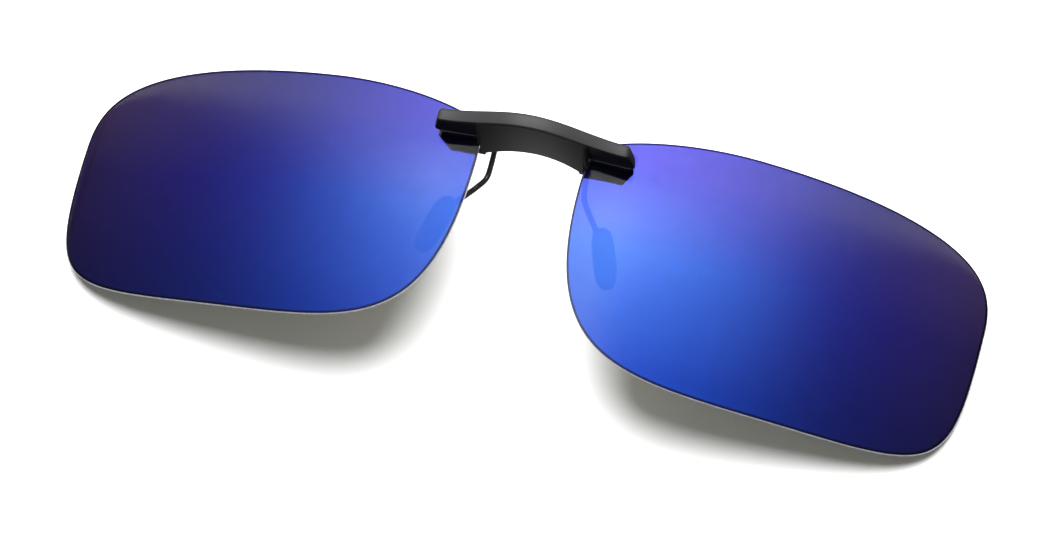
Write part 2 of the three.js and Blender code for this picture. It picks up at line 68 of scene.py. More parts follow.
# Camera and light
AIM = (2.5, -5.575, -7.431)
CAMERA_DISTANCE = 869.5
CAMERA_AZIMUTH = 28.53
CAMERA_ELEVATION = 68.97
CAMERA_ROLL = -15.1
FOCAL_LENGTH = 205.7
SOFTBOX_AZIMUTH = 183.7
SOFTBOX_ELEVATION = 60.5
LAMP_DISTANCE = 1000.0
SOFTBOX_SIZE = 1100.0
SOFTBOX_POWER = 41.0
GLINT_AZIMUTH = 206.0
GLINT_ELEVATION = 66.0
GLINT_SIZE = 900.0
GLINT_POWER = 135.0
TABLE_SIZE = 640.0
ROOM_SEEN = 1.0
ROOM_ON_SURFACES = 0.16

# Lenses
LENS_THICKNESS = 0.8
LENS_RIM = 0.1
# Painted shade along the front rim of each lens: it fades out between these two insets from the outline, in
# millimetres
RIM_SHADE_WIDTH = (0.24, 0.4)
WRAP_SLOPE = 0.05
WRAP_BEND = 0.0028
LENS_BEND = 0.005
LENS_TWIST = 0.00067
LENS_CENTRE = (38.0, 0.0)
LENS_NOSE_X = 7.8
LENS_SIDE_X = 68.35
LENS_TOP_Y = 19.2
LENS_BOTTOM_Y = -19.05

# Bridge bar
BAR_END_X = 14.3
BAR_END_ROUND = 0.45
DRAFT = 0.9
DRAFT_ABOVE = 0.4
DRAFT_START_X = 12.5
ARCH_HALF_LENGTH = 15.0
BAR_END = {"top": 13.9, "bottom": 12.0, "front": 2.95}
ARCH_RISE = {"top": 0.4, "bottom": 0.2, "front": 3.6}
BAR_REAR_BOTTOM_Y = 11.9
TONGUE_X = 7.65
TONGUE_BLEND = 0.1
TONGUE_REAR_Z = -2.6
TONGUE_REAR_Y = 11.55
TONGUE_DROP = 1.6
HOOK = ((7.0, 8.1), (10.1, 12.0), (-2.95, -2.45))
CHEEK_X = 8.25
GROOVE = {"start": 0.3, "end": 0.52, "depth": 0.28}

# Seats, back plate and screws
SEAT = 0.4
GAP = 0.15
FRONT_SEAT_X = (8.3, 14.7)
REAR_SEAT_X = (8.3, 13.6)
FRONT_SEAT_Y = (12.0, 13.9)
REAR_SEAT_Y = (11.6, 15.1)
PLATE_THICKNESS = 1.2
PLATE_MID_Z = -2.9
PLATE_MID_Y = (12.6, 16.9)
PLATE_END_Y = (11.3, 15.3)
PLATE_END_X = 14.5
PLATE_ROUND = 0.3
SCREW_X = (10.9, 12.8)
SCREW_Y = 13.0
SCREW_R = 0.5
SCREW_HOLE_R = 0.7
SCREW_HEAD_R = 0.85
SCREW_HEAD = 0.6
SCREW_SLOT = 0.22
BAR_HOLE_DEPTH = 2.4

# Hinge, lever and spring
PIVOT_Y = 15.2
PIVOT_Z = -6.3
PIN_R = 0.55
PIN_X = (-10.8, 10.7)
PIN_HEAD_R = 1.05
PIN_HEAD_X = -10.05
BORE_R = 0.72
EAR_X = (8.6, 9.8)
EAR_R = 1.7
EAR_ROOT_Z = -3.9
WASHER_X = (8.1, 8.4)
RETAINER_X = (10.0, 10.35)
RING_R = 1.4
BARREL_R = 1.45
BARREL_X = 7.9
WINDOW_X = 2.7
LEVER_X = 4.4
LEVER_ROOT = (16.4, -8.3)
LEVER_TIP = (18.6, -9.0)
LEVER_THICKNESS = 1.0
GRIP_THICKNESS = 0.7
GRIP_RIBS = 4
SPRING_WIRE_R = 0.2
SPRING_COIL_R = 1.3
SPRING_TURNS = 5.5
SPRING_X = 2.1
SPRING_LEG = 1.4

# Wire arms and pads
WIRE_R = 0.44
WIRE_X = 7.1
WIRE_HOLE_R = 0.6
BOSS_X = (6.2, 7.95)
BOSS_Y = (13.7, 16.0)
BOSS_Z = (-10.1, -6.6)
WIRE_SCREW_Y = 14.9
WIRE_ROUTE = [
    (7.1, 15.6, -9.0),
    (7.1, 13.3, -9.1),
    (7.15, 11.0, -9.6),
    (7.4, 9.2, -10.1),
    (8.5, 7.2, -9.7),
    (9.9, 5.2, -9.2),
    (11.2, 3.2, -8.85),
    (12.4, 0.9, -9.0),
    (13.2, -1.2, -9.4),
]
PAD_TOP = (11.3, 4.6, -8.1)
PAD_BOTTOM = (14.2, -4.0, -9.9)
PAD_WIDTH = 3.4
PAD_DEPTH = 2.6
PAD_FACE = 0.95

# The bar's top and front in the drawing match the top and front of its box in the frame
BAR_BOX_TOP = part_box("bridge_bar")[1]
ORIGIN = Vector((
    0,
    BAR_BOX_TOP.y - (BAR_END["top"] + ARCH_RISE["top"]) * MM,
    BAR_BOX_TOP.z - (BAR_END["front"] + ARCH_RISE["front"]) * MM,
))


def place(x, y, z):
    """A drawn point, in millimetres, as a point in the frame, in metres."""
    return Vector((x, y, z)) * MM + ORIGIN


def lerp(a, b, share):
    return a + (b - a) * share


def smooth_step(share):
    share = max(0.0, min(1.0, share))
    return share * share * (3 - 2 * share)


# Materials


def linear(red, green, blue):
    """A screen colour from 0 to 255 as the scene-linear colour that a shader takes."""
    def channel(value):
        value /= 255
        return value / 12.92 if value <= 0.04045 else ((value + 0.055) / 1.055) ** 2.4
    return (channel(red), channel(green), channel(blue), 1.0)


class Shading:
    """One material's node tree, with short calls for the nodes that the materials share."""

    def __init__(self, name):
        self.material = bpy.data.materials.new(name)
        self.material.use_nodes = True
        self.tree = self.material.node_tree
        self.tree.nodes.clear()
        self.output = self.add("ShaderNodeOutputMaterial")
        self.place = self.add("ShaderNodeTexCoord").outputs["Object"]

    def add(self, kind, settings=None, **inputs):
        node = self.tree.nodes.new(kind)
        for key, value in (settings or {}).items():
            setattr(node, key, value)
        for key, value in inputs.items():
            self.feed(node, key.replace("_", " "), value)
        return node

    def feed(self, node, socket, value):
        if isinstance(value, bpy.types.NodeSocket):
            self.tree.links.new(value, node.inputs[socket])
        else:
            node.inputs[socket].default_value = value

    def math(self, operation, first, second=0.0):
        node = self.add("ShaderNodeMath", {"operation": operation})
        self.feed(node, 0, first)
        self.feed(node, 1, second)
        return node.outputs[0]

    def noise(self, size_mm, detail=3.0, stretch=(1, 1, 1)):
        """Noise whose largest features are about size_mm across, stretched along the axes."""
        mapping = self.add("ShaderNodeMapping", Vector=self.place, Scale=tuple(1 / s for s in stretch))
        scale = 1 / (size_mm * MM)
        node = self.add("ShaderNodeTexNoise", Vector=mapping.outputs[0], Scale=scale, Detail=detail)
        return node.outputs["Fac"]

    def between(self, value, low, high, start=0.3, end=0.7):
        """Value's run from start to end, spread over low to high."""
        node = self.add("ShaderNodeMapRange", Value=value)
        for socket, number in (("From Min", start), ("From Max", end), ("To Min", low), ("To Max", high)):
            self.feed(node, socket, number)
        return node.outputs[0]

    def mix(self, share, first, second, blend="MIX"):
        node = self.add("ShaderNodeMix", {"data_type": "RGBA", "blend_type": blend})
        self.feed(node, 0, share)
        self.feed(node, 6, first)
        self.feed(node, 7, second)
        return node.outputs[2]

    def ramp(self, share, stops, interpolation="LINEAR"):
        node = self.add("ShaderNodeValToRGB", Fac=share)
        node.color_ramp.interpolation = interpolation
        elements = node.color_ramp.elements
        while len(elements) > 1:
            elements.remove(elements[0])
        elements[0].position = stops[0][0]
        elements[0].color = stops[0][1]
        for position, colour in stops[1:]:
            elements.new(position).color = colour
        return node.outputs["Color"]

    def bump(self, height, depth_mm):
        node = self.add("ShaderNodeBump", Height=height, Strength=1.0, Distance=depth_mm * MM)
        return node.outputs["Normal"]

    def finish(self, shader):
        self.tree.links.new(shader.outputs[0], self.output.inputs["Surface"])
        return self.material


# The coat's own blue, with a painted reflection of the lamps in it, runs between nine colours: near the nose,
# halfway out and at the side, on three levels
VIOLET = (105, 100, 245)
SLATE_VIOLET = (60, 60, 160)
PLUM = (60, 45, 80)
BRIGHT_BLUE = (75, 130, 255)
NAVY = (40, 60, 160)
DARK_VIOLET = (35, 25, 70)
DEEP_BLUE = (30, 80, 210)
DARK_BLUE = (15, 40, 130)
INDIGO = (20, 15, 55)
COAT_AND_PAINTED_REFLECTION_PLACES = (18, 42, 68)
COAT_AND_PAINTED_REFLECTION_LEVELS = [
    (14, (VIOLET, SLATE_VIOLET, PLUM)),
    (0, (BRIGHT_BLUE, NAVY, DARK_VIOLET)),
    (-17, (DEEP_BLUE, DARK_BLUE, INDIGO)),
]
# On the left lens the same run of painted reflection starts further out and is slower
PAINTED_REFLECTION_LEFT_SCALE = 0.77
PAINTED_REFLECTION_LEFT_SHIFT = 16.6
# How much the front lets through: a grey tint with painted light and shade in it, most just off the nose,
# less outwards and less again along the top, standing in for how brightly the table behind is lit
DYE_WITH_PAINTED_LIGHT_FRONT = [
    (8, (0.36, 0.36, 0.32, 1)),
    (13, (0.5, 0.5, 0.45, 1)),
    (28, (0.28, 0.28, 0.25, 1)),
    (68, (0.15, 0.15, 0.13, 1)),
]
DYE_WITH_PAINTED_SHADE_TOP = (0.17, 0.17, 0.14, 1)
PAINTED_SHADE_TOP_LEVEL = (11.0, 4.0)
# The painted shade that darkens the coat along the lens rim
RIM_SHADE = (0.16, 0.14, 0.14, 1)
DYE_BACK = (0.112, 0.112, 0.095, 1)


def outward_ramp(shading, across, stops, interpolation):
    """A ramp whose stops are placed by their distance from the mid-plane, in millimetres."""
    share = shading.between(across, 0, 1, LENS_NOSE_X * MM, LENS_SIDE_X * MM)
    span = LENS_SIDE_X - LENS_NOSE_X
    placed = [(max(0, min(1, (x - LENS_NOSE_X) / span)), colour) for x, colour in stops]
    return shading.ramp(share, placed, interpolation)


def falling(shading, axes, start, end):
    """0 above the drawn height start, and 1 below end."""
    return shading.between(axes.outputs["Y"], 0, 1, ORIGIN.y + start * MM, ORIGIN.y + end * MM)


def coat_colour_and_painted_reflection(shading, axes):
    """The coat's blue with a painted reflection: blue near the nose, violet along the top, dark navy
    outwards, and painted shade darkening the very rim.
    """
    across = shading.math("ABSOLUTE", axes.outputs["X"])
    # On the left lens the painted reflection is moved outwards and spread wider
    squeezed = shading.math("ADD", shading.math("MULTIPLY", across, PAINTED_REFLECTION_LEFT_SCALE), PAINTED_REFLECTION_LEFT_SHIFT * MM)
    change = shading.math("SUBTRACT", squeezed, across)
    on_left = shading.math("LESS_THAN", axes.outputs["X"], 0.0)
    across = shading.math("ADD", across, shading.math("MULTIPLY", on_left, change))

    def level(colours):
        stops = [(x, linear(*colour)) for x, colour in zip(COAT_AND_PAINTED_REFLECTION_PLACES, colours)]
        return outward_ramp(shading, across, stops, "CARDINAL")

    above, colours = COAT_AND_PAINTED_REFLECTION_LEVELS[0]
    colour = level(colours)
    for height, colours in COAT_AND_PAINTED_REFLECTION_LEVELS[1:]:
        colour = shading.mix(falling(shading, axes, above, height), colour, level(colours))
        above = height
    haze = shading.ramp(shading.noise(2.5, 6), [(0.3, (0.95, 0.95, 0.95, 1)), (0.7, (1, 1, 1, 1))])
    colour = shading.mix(1.0, colour, haze, "MULTIPLY")
    # Painted shade along the rim, wherever the rim attribute is set
    rim = shading.add("ShaderNodeAttribute", {"attribute_name": "rim"}).outputs["Fac"]
    return shading.mix(rim, colour, RIM_SHADE, "MULTIPLY")


def mirror_coat_with_painted_reflection():
    """The front of a lens: a coloured mirror with a painted reflection in its colour, over a grey dyed lens
    that lets a little light through, with painted light and shade in how much.
    """
    shading = Shading("mirror_coat_with_painted_reflection")
    axes = shading.add("ShaderNodeSeparateXYZ", Vector=shading.place)
    roughness = shading.between(shading.noise(6.0, 5), 0.05, 0.085)
    mirror = shading.add(
        "ShaderNodeBsdfPrincipled", Base_Color=coat_colour_and_painted_reflection(shading, axes), Metallic=1.0, Roughness=roughness
    )
    # Painted light and shade in how much the front lets through, by place across and up the lens
    dye_with_painted_light = outward_ramp(shading, shading.math("ABSOLUTE", axes.outputs["X"]), DYE_WITH_PAINTED_LIGHT_FRONT, "LINEAR")
    dye_with_painted_light = shading.mix(falling(shading, axes, *PAINTED_SHADE_TOP_LEVEL), DYE_WITH_PAINTED_SHADE_TOP, dye_with_painted_light)
    through = shading.add("ShaderNodeBsdfTransparent", Color=dye_with_painted_light)
    both = shading.add("ShaderNodeAddShader")
    shading.tree.links.new(mirror.outputs[0], both.inputs[0])
    shading.tree.links.new(through.outputs[0], both.inputs[1])
    return shading.finish(both)


def lens_back():
    """The uncoated back of a lens: dark, polished and a little see-through."""
    shading = Shading("lens_back")
    tone = shading.mix(shading.noise(4.0), (0.004, 0.004, 0.006, 1), (0.008, 0.008, 0.01, 1))
    roughness = shading.between(shading.noise(5.0, 5), 0.04, 0.09)
    gloss = shading.add("ShaderNodeBsdfPrincipled", Base_Color=tone, Roughness=roughness)
    through = shading.add("ShaderNodeBsdfTransparent", Color=DYE_BACK)
    both = shading.add("ShaderNodeAddShader")
    shading.tree.links.new(gloss.outputs[0], both.inputs[0])
    shading.tree.links.new(through.outputs[0], both.inputs[1])
    return shading.finish(both)


def lens_edge():
    """The polished rim, where the clear layers of the lens show pale."""
    shading = Shading("lens_edge")
    tone = shading.mix(shading.noise(1.2), linear(112, 112, 128), linear(138, 138, 152))
    roughness = shading.between(shading.noise(0.6), 0.18, 0.34)
    return shading.finish(shading.add(
        "ShaderNodeBsdfPrincipled", Base_Color=tone, Roughness=roughness,
        Normal=shading.bump(shading.noise(0.25), 0.004),
    ))


def moulded_plastic(name, tone, grain_mm, gloss):
    """Spark-eroded black plastic: a fine even grain that breaks up the highlights."""
    shading = Shading(name)
    grain = shading.noise(grain_mm, 2)
    cloud = shading.noise(5.0)
    dark = tuple(channel * 0.8 for channel in tone[:3]) + (1,)
    colour = shading.mix(shading.between(cloud, 0, 1), dark, tone)
    fine = shading.between(grain, gloss, gloss + 0.12)
    roughness = shading.math("ADD", fine, shading.between(cloud, 0, 0.05))
    return shading.finish(shading.add(
        "ShaderNodeBsdfPrincipled", Base_Color=colour, Roughness=roughness,
        Specular_IOR_Level=0.03, Normal=shading.bump(grain, 0.012),
    ))


def soft_rubber(name, tone, roughness_low):
    """Silicone or soft rubber with a dusty bloom."""
    shading = Shading(name)
    bloom = shading.noise(1.6, 5)
    light = tuple(min(1, channel * 1.5) for channel in tone[:3]) + (1,)
    colour = shading.mix(shading.between(bloom, 0, 1), tone, light)
    roughness = shading.between(bloom, roughness_low, roughness_low + 0.15)
    return shading.finish(shading.add(
        "ShaderNodeBsdfPrincipled", Base_Color=colour, Roughness=roughness,
        Sheen_Weight=0.15, Normal=shading.bump(shading.noise(0.2), 0.008),
    ))


def lacquered_wire():
    """Black lacquer over steel wire."""
    shading = Shading("lacquered_wire")
    flow = shading.noise(0.9, 3)
    colour = shading.mix(flow, (0.002, 0.002, 0.002, 1), (0.005, 0.005, 0.005, 1))
    return shading.finish(shading.add(
        "ShaderNodeBsdfPrincipled", Base_Color=colour, Roughness=shading.between(flow, 0.2, 0.3),
        Specular_IOR_Level=0.3, Normal=shading.bump(shading.noise(0.3), 0.006),
    ))


def steel(name, tone, stretch, roughness_low):
    """Drawn or turned steel: fine scratches along one direction."""
    shading = Shading(name)
    lines = shading.noise(0.12, 4, stretch)
    stain = shading.noise(1.5, 4)
    dark = tuple(channel * 0.72 for channel in tone[:3]) + (1,)
    colour = shading.mix(shading.between(stain, 0, 1), dark, tone)
    roughness = shading.between(lines, roughness_low, roughness_low + 0.2)
    return shading.finish(shading.add(
        "ShaderNodeBsdfPrincipled", Base_Color=colour, Metallic=1.0, Roughness=roughness,
        Normal=shading.bump(lines, 0.003),
    ))


def white_table():
    shading = Shading("white_table")
    tone = shading.mix(shading.noise(40), (0.86, 0.86, 0.86, 1), (0.88, 0.88, 0.88, 1))
    return shading.finish(shading.add("ShaderNodeBsdfPrincipled", Base_Color=tone, Roughness=0.9))


MIRROR = mirror_coat_with_painted_reflection()
LENS_EDGE = lens_edge()
LENS_BACK = lens_back()
BRIDGE_PLASTIC = moulded_plastic("bridge_plastic", (0.005, 0.005, 0.0052, 1), 0.16, 0.38)
CLIP_PLASTIC = moulded_plastic("clip_plastic", (0.005, 0.005, 0.0052, 1), 0.2, 0.45)
SEAT_RUBBER = soft_rubber("seat_rubber", (0.005, 0.005, 0.005, 1), 0.6)
PAD_RUBBER = soft_rubber("pad_rubber", (0.006, 0.006, 0.006, 1), 0.6)
BLACK_WIRE = lacquered_wire()
SPRING_STEEL = steel("spring_steel", (0.55, 0.56, 0.58, 1), (1, 1, 6), 0.2)
PIN_STEEL = steel("pin_steel", (0.62, 0.62, 0.63, 1), (8, 1, 1), 0.16)
SCREW_STEEL = steel("screw_steel", (0.5, 0.5, 0.52, 1), (1, 1, 5), 0.24)


# Mesh building: a shape is a pair (points, faces) in drawn millimetres


def loft(rings):
    """A closed skin over rings of equally many points, with a fan on each end."""
    count = len(rings[0])
    points = [Vector(p) for ring in rings for p in ring]
    faces = []
    for ring in range(len(rings) - 1):
        for i in range(count):
            a = ring * count + i
            b = ring * count + (i + 1) % count
            faces.append((a, b, b + count, a + count))
    for start in (0, (len(rings) - 1) * count):
        centre = sum((points[start + i] for i in range(count)), Vector()) / count
        points.append(centre)
        middle = len(points) - 1
        faces += [(middle, start + i, start + (i + 1) % count) for i in range(count)]
    return points, faces


def rounded(corners, radii, steps=5):
    """A closed outline through the corners, each turned by a curve that starts radius away from it."""
    outline = []
    count = len(corners)
    for i, corner in enumerate(corners):
        here = Vector(corner)
        before = Vector(corners[i - 1]) - here
        after = Vector(corners[(i + 1) % count]) - here
        radius = radii[i] if isinstance(radii, (list, tuple)) else radii
        radius = min(radius, before.length * 0.48, after.length * 0.48)
        start = here + before.normalized() * radius
        end = here + after.normalized() * radius
        for step in range(steps + 1):
            t = step / steps
            outline.append(start * (1 - t) ** 2 + here * (2 * t * (1 - t)) + end * t * t)
    return outline


def prism_x(corners, x0, x1, radius=0.15, edge=0.1):
    """An outline in (Y, Z) made solid from x0 to x1, with softened rims."""
    outline = rounded(corners, radius)
    middle = sum(outline, Vector((0, 0))) / len(outline)

    def ring(x, inset):
        pulled = []
        for point in outline:
            inward = (middle - point).normalized()
            moved = point + inward * inset
            pulled.append((x, moved.x, moved.y))
        return pulled

    slices = [(x0, edge), (x0 + edge * 0.3, edge * 0.3), (x0 + edge, 0)]
    slices += [(x1 - edge, 0), (x1 - edge * 0.3, edge * 0.3), (x1, edge)]
    return loft([ring(x, inset) for x, inset in slices])


def turned_x(profile, centre=(PIVOT_Y, PIVOT_Z), segments=48):
    """A body turned about an axis along X; the profile holds (x, radius) pairs."""
    rings = []
    for x, radius in profile:
        ring = []
        for i in range(segments):
            angle = 2 * math.pi * i / segments
            y = centre[0] + radius * math.cos(angle)
            z = centre[1] + radius * math.sin(angle)
            ring.append((x, y, z))
        rings.append(ring)
    return loft(rings)


def rod_x(radius, x0, x1, edge=0.08):
    return turned_x([(x0, radius - edge), (x0 + edge, radius), (x1 - edge, radius), (x1, radius - edge)])


def ring_x(inner, outer, x0, x1, edge=0.05):
    """A closed ring about the hinge axis."""
    section = rounded([(x0, inner), (x0, outer), (x1, outer), (x1, inner)], edge, 3)
    count = 64
    points = []
    for i in range(count):
        angle = 2 * math.pi * i / count
        for x, radius in section:
            points.append(Vector((x, PIVOT_Y + radius * math.cos(angle), PIVOT_Z + radius * math.sin(angle))))
    size = len(section)
    faces = []
    for i in range(count):
        for j in range(size):
            a = i * size + j
            b = i * size + (j + 1) % size
            c = ((i + 1) % count) * size + (j + 1) % size
            d = ((i + 1) % count) * size + j
            faces.append((a, b, c, d))
    return points, faces


def turned_z(profile, x, y, segments=40):
    """A body turned about an axis along Z through (x, y); the profile holds (radius, z) pairs."""
    rings = []
    for radius, z in profile:
        ring = []
        for i in range(segments):
            angle = 2 * math.pi * i / segments
            ring.append((x + radius * math.cos(angle), y + radius * math.sin(angle), z))
        rings.append(ring)
    return loft(rings)


def rod_z(x, y, radius, z0, z1):
    return turned_z([(radius, z0), (radius, z1)], x, y)


def rod_y(x, z, radius, y0, y1, segments=32):
    """A plain round rod along Y."""
    rings = []
    for y in (y0, y1):
        angles = [2 * math.pi * i / segments for i in range(segments)]
        rings.append([(x + radius * math.cos(a), y, z + radius * math.sin(a)) for a in angles])
    return loft(rings)


def block(span_x, span_y, span_z, round_off=0.25):
    corners = [(y, z) for y, z in (
        (span_y[0], span_z[0]), (span_y[1], span_z[0]), (span_y[1], span_z[1]), (span_y[0], span_z[1]),
    )]
    return prism_x(corners, span_x[0], span_x[1], round_off)


def spline(points, steps):
    """Points along a centripetal Catmull-Rom curve through the given ones."""
    path = [Vector(p) for p in points]
    path = [path[0] * 2 - path[1]] + path + [path[-1] * 2 - path[-2]]
    out = []
    for i in range(1, len(path) - 2):
        p0, p1, p2, p3 = path[i - 1:i + 3]
        t1 = (p1 - p0).length ** 0.5
        t2 = t1 + (p2 - p1).length ** 0.5
        t3 = t2 + (p3 - p2).length ** 0.5
        for step in range(steps):
            t = lerp(t1, t2, step / steps)
            a1 = p0 * ((t1 - t) / t1) + p1 * (t / t1)
            a2 = p1 * ((t2 - t) / (t2 - t1)) + p2 * ((t - t1) / (t2 - t1))
            a3 = p2 * ((t3 - t) / (t3 - t2)) + p3 * ((t - t2) / (t3 - t2))
            b1 = a1 * ((t2 - t) / t2) + a2 * (t / t2)
            b2 = a2 * ((t3 - t) / (t3 - t1)) + a3 * ((t - t1) / (t3 - t1))
            out.append(b1 * ((t2 - t) / (t2 - t1)) + b2 * ((t - t1) / (t2 - t1)))
    out.append(path[-2])
    return out


def sweep(path, radius, sides=16):
    """A round wire along a path, with domed ends."""
    side = (path[1] - path[0]).orthogonal().normalized()
    rings = []
    last = len(path) - 1

    def ring(centre, along, size):
        nonlocal side
        side = (side - along * side.dot(along)).normalized()
        other = along.cross(side)
        angles = [2 * math.pi * i / sides for i in range(sides)]
        return [centre + (side * math.cos(a) + other * math.sin(a)) * size for a in angles]

    for i, centre in enumerate(path):
        along = (path[min(i + 1, last)] - path[max(i - 1, 0)]).normalized()
        if i == 0:
            rings.append(ring(centre, along, radius * 0.5))
            rings.append(ring(centre + along * radius * 0.12, along, radius * 0.8))
            rings.append(ring(centre + along * radius * 0.4, along, radius))
        elif i == last:
            rings.append(ring(centre - along * radius * 0.4, along, radius))
            rings.append(ring(centre - along * radius * 0.12, along, radius * 0.8))
            rings.append(ring(centre, along, radius * 0.5))
        else:
            rings.append(ring(centre, along, radius))
    return loft(rings)


def mirrored(shape):
    points, faces = shape
    return [Vector((-p.x, p.y, p.z)) for p in points], [tuple(reversed(f)) for f in faces]


def mesh_of(name, shape):
    """A Blender mesh object, in the frame, with its faces pointing outwards."""
    points, faces = shape
    mesh = bpy.data.meshes.new(name)
    mesh.from_pydata([place(*p) for p in points], [], faces)
    work = bmesh.new()
    work.from_mesh(mesh)
    bmesh.ops.recalc_face_normals(work, faces=work.faces)
    work.to_mesh(mesh)
    work.free()
    piece = bpy.data.objects.new(name, mesh)
    bpy.context.scene.collection.objects.link(piece)
    return piece


def carve(piece, operation, shapes):
    """Joins the shapes to the piece, or cuts them out of it, for good."""
    for shape in shapes:
        tool = mesh_of("tool", shape)
        modifier = piece.modifiers.new("carve", "BOOLEAN")
        modifier.operation = operation
        modifier.solver = "EXACT"
        modifier.object = tool
        graph = bpy.context.evaluated_depsgraph_get()
        carved = bpy.data.meshes.new_from_object(piece.evaluated_get(graph))
        piece.modifiers.clear()
        old = piece.data
        piece.data = carved
        bpy.data.meshes.remove(old)
        tool_mesh = tool.data
        bpy.data.objects.remove(tool)
        bpy.data.meshes.remove(tool_mesh)


def hand_over(piece, body, slot, materials, crease=38):
    """Gives a piece its finish and its body, and lets it stand for the CAD node of the same name."""
    for material in materials:
        piece.data.materials.append(material)
    piece.data.shade_smooth()
    piece.data.set_sharp_from_angle(angle=math.radians(crease))
    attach(piece, body)
    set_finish(piece, slot)
    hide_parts(piece.name.removesuffix("_fine"))


def pair(name, shape, body, slot, materials, crease=38):
    for side, drawn in (("right", shape), ("left", mirrored(shape))):
        hand_over(mesh_of(f"{name}_{side}_fine", drawn), body, slot, materials, crease)


# Lenses


def lens_depth(x, y):
    """How far the front of a lens lies behind the meeting point on the mid-plane."""
    across = abs(x)
    return WRAP_SLOPE * across + WRAP_BEND * across ** 2 + LENS_BEND * y * y + LENS_TWIST * across * y


def bezier(p0, p1, p2, p3, steps):
    out = []
    for step in range(steps):
        t = step / steps
        weights = ((1 - t) ** 3, 3 * t * (1 - t) ** 2, 3 * t * t * (1 - t), t ** 3)
        out.append(sum((Vector(p) * w for p, w in zip((p0, p1, p2, p3), weights)), Vector((0, 0))))
    return out


def lens_outline():
    """The right-hand lens, anticlockwise from the middle of its top edge."""
    top = (32.5, LENS_TOP_Y)
    shoulder = (10.6, 15.3)
    nose = (LENS_NOSE_X, 8)
    foot = (43.2, LENS_BOTTOM_Y)
    side = (LENS_SIDE_X, 2.4)
    return (
        bezier(top, (20.5, LENS_TOP_Y), (11.9, 16.1), shoulder, 40)
        + bezier(shoulder, (9.1, 14.3), (LENS_NOSE_X, 12.5), nose, 24)
        + bezier(nose, (LENS_NOSE_X, -18.8), (19, LENS_BOTTOM_Y), foot, 72)
        + bezier(foot, (66.4, LENS_BOTTOM_Y), (LENS_SIDE_X, -18.4), side, 64)
        + bezier(side, (LENS_SIDE_X, 9.3), (68.6, LENS_TOP_Y), top, 64)
    )


def inset(outline, distance):
    """The outline moved inwards by a small distance."""
    moved = []
    count = len(outline)
    for i, point in enumerate(outline):
        along = (outline[(i + 1) % count] - outline[i - 1]).normalized()
        moved.append(point + Vector((-along.y, along.x)) * distance)
    return moved


def lens_shape():
    """The lens as rings from the middle of its back, round the rim, to the middle of its front."""
    outline = inset(lens_outline(), 0.01)
    centre = Vector(LENS_CENTRE)
    rim = LENS_RIM
    face = inset(outline, rim)
    shares = [0.04, 0.12, 0.22, 0.32, 0.42, 0.52, 0.61, 0.7, 0.78, 0.85, 0.91, 0.96, 1.0]

    def ring(loop, share, below):
        spread = [centre + (p - centre) * share for p in loop]
        return [(p.x, p.y, -lens_depth(p.x, p.y) - below) for p in spread]

    rings = [ring(face, share, LENS_THICKNESS) for share in shares]
    back_of_rim = len(rings)
    rings.append(ring(inset(outline, rim * 0.3), 1, LENS_THICKNESS - rim * 0.3))
    rings.append(ring(outline, 1, LENS_THICKNESS - rim))
    rings.append(ring(outline, 1, rim))
    front_of_rim = len(rings) - 1
    rings.append(ring(inset(outline, rim * 0.3), 1, rim * 0.3))
    rings.append(ring(face, 1, 0))
    # These two rings mark where the painted shade along the rim fades out
    rings.append(ring(inset(outline, RIM_SHADE_WIDTH[0]), 1, 0))
    end_of_shade = len(rings)
    rings.append(ring(inset(outline, RIM_SHADE_WIDTH[1]), 1, 0))
    rings += [ring(face, share, 0) for share in reversed(shares[:-1])]
    points, faces = loft(rings)
    points[-2] = Vector((*centre, -lens_depth(*centre) - LENS_THICKNESS))
    points[-1] = Vector((*centre, -lens_depth(*centre)))
    count = len(outline)
    return (points, faces), (back_of_rim * count, front_of_rim * count, end_of_shade * count)


def make_lenses():
    """Material 0 is the coated front, 1 the rim and 2 the back."""
    shape, (rim_start, front_start, shade_end) = lens_shape()
    caps = len(shape[0]) - 2
    for side, drawn in (("right", shape), ("left", mirrored(shape))):
        piece = mesh_of(f"lens_{side}_fine", drawn)
        hand_over(piece, "bridge", "mirror_lens", [MIRROR, LENS_EDGE, LENS_BACK], 60)
        for face in piece.data.polygons:
            corners = [v for v in face.vertices]
            lowest = min(corners)
            if caps in corners or max(v for v in corners) < rim_start:
                face.material_index = 2
            elif caps + 1 in corners or lowest >= front_start:
                face.material_index = 0
            else:
                face.material_index = 1
        # Marks the band along the front rim that gets painted shade in the coat
        shade = piece.data.attributes.new("rim", "FLOAT", "POINT")
        for i in range(front_start, shade_end):
            shade.data[i].value = 1.0


def seat_shape(span_x, span_y, rise):
    """A thin soft pad that follows the lens; rise is the height of its back over the front of the lens."""
    corners = [
        (span_x[0], span_y[0]), (span_x[1], span_y[0]), (span_x[1], span_y[1]), (span_x[0], span_y[1]),
    ]
    outline = rounded(corners, 0.8, 8)
    centre = Vector(((span_x[0] + span_x[1]) / 2, (span_y[0] + span_y[1]) / 2))

    def ring(share, pull, height):
        loop = [centre + (p - centre) * share for p in inset(outline, pull)]
        return [(p.x, p.y, -lens_depth(p.x, p.y) + rise + height) for p in loop]

    edge = 0.06
    rings = [ring(0.3, edge, 0), ring(0.65, edge, 0), ring(1, edge, 0), ring(1, 0, edge)]
    rings += [ring(1, 0, SEAT - edge), ring(1, edge, SEAT), ring(0.65, edge, SEAT), ring(0.3, edge, SEAT)]
    return loft(rings)


# Bridge bar


def arch_share(x):
    """1 at the mid-plane and 0 from the ends of the arch outwards, in one smooth wave."""
    return (1 + math.cos(math.pi * min(abs(x) / ARCH_HALF_LENGTH, 1))) / 2


def end_inset(x, end, radius):
    """How far a section shrinks towards a rounded end."""
    past = max(0.0, abs(x) - (end - radius))
    return radius - math.sqrt(max(0.0, radius * radius - past * past))


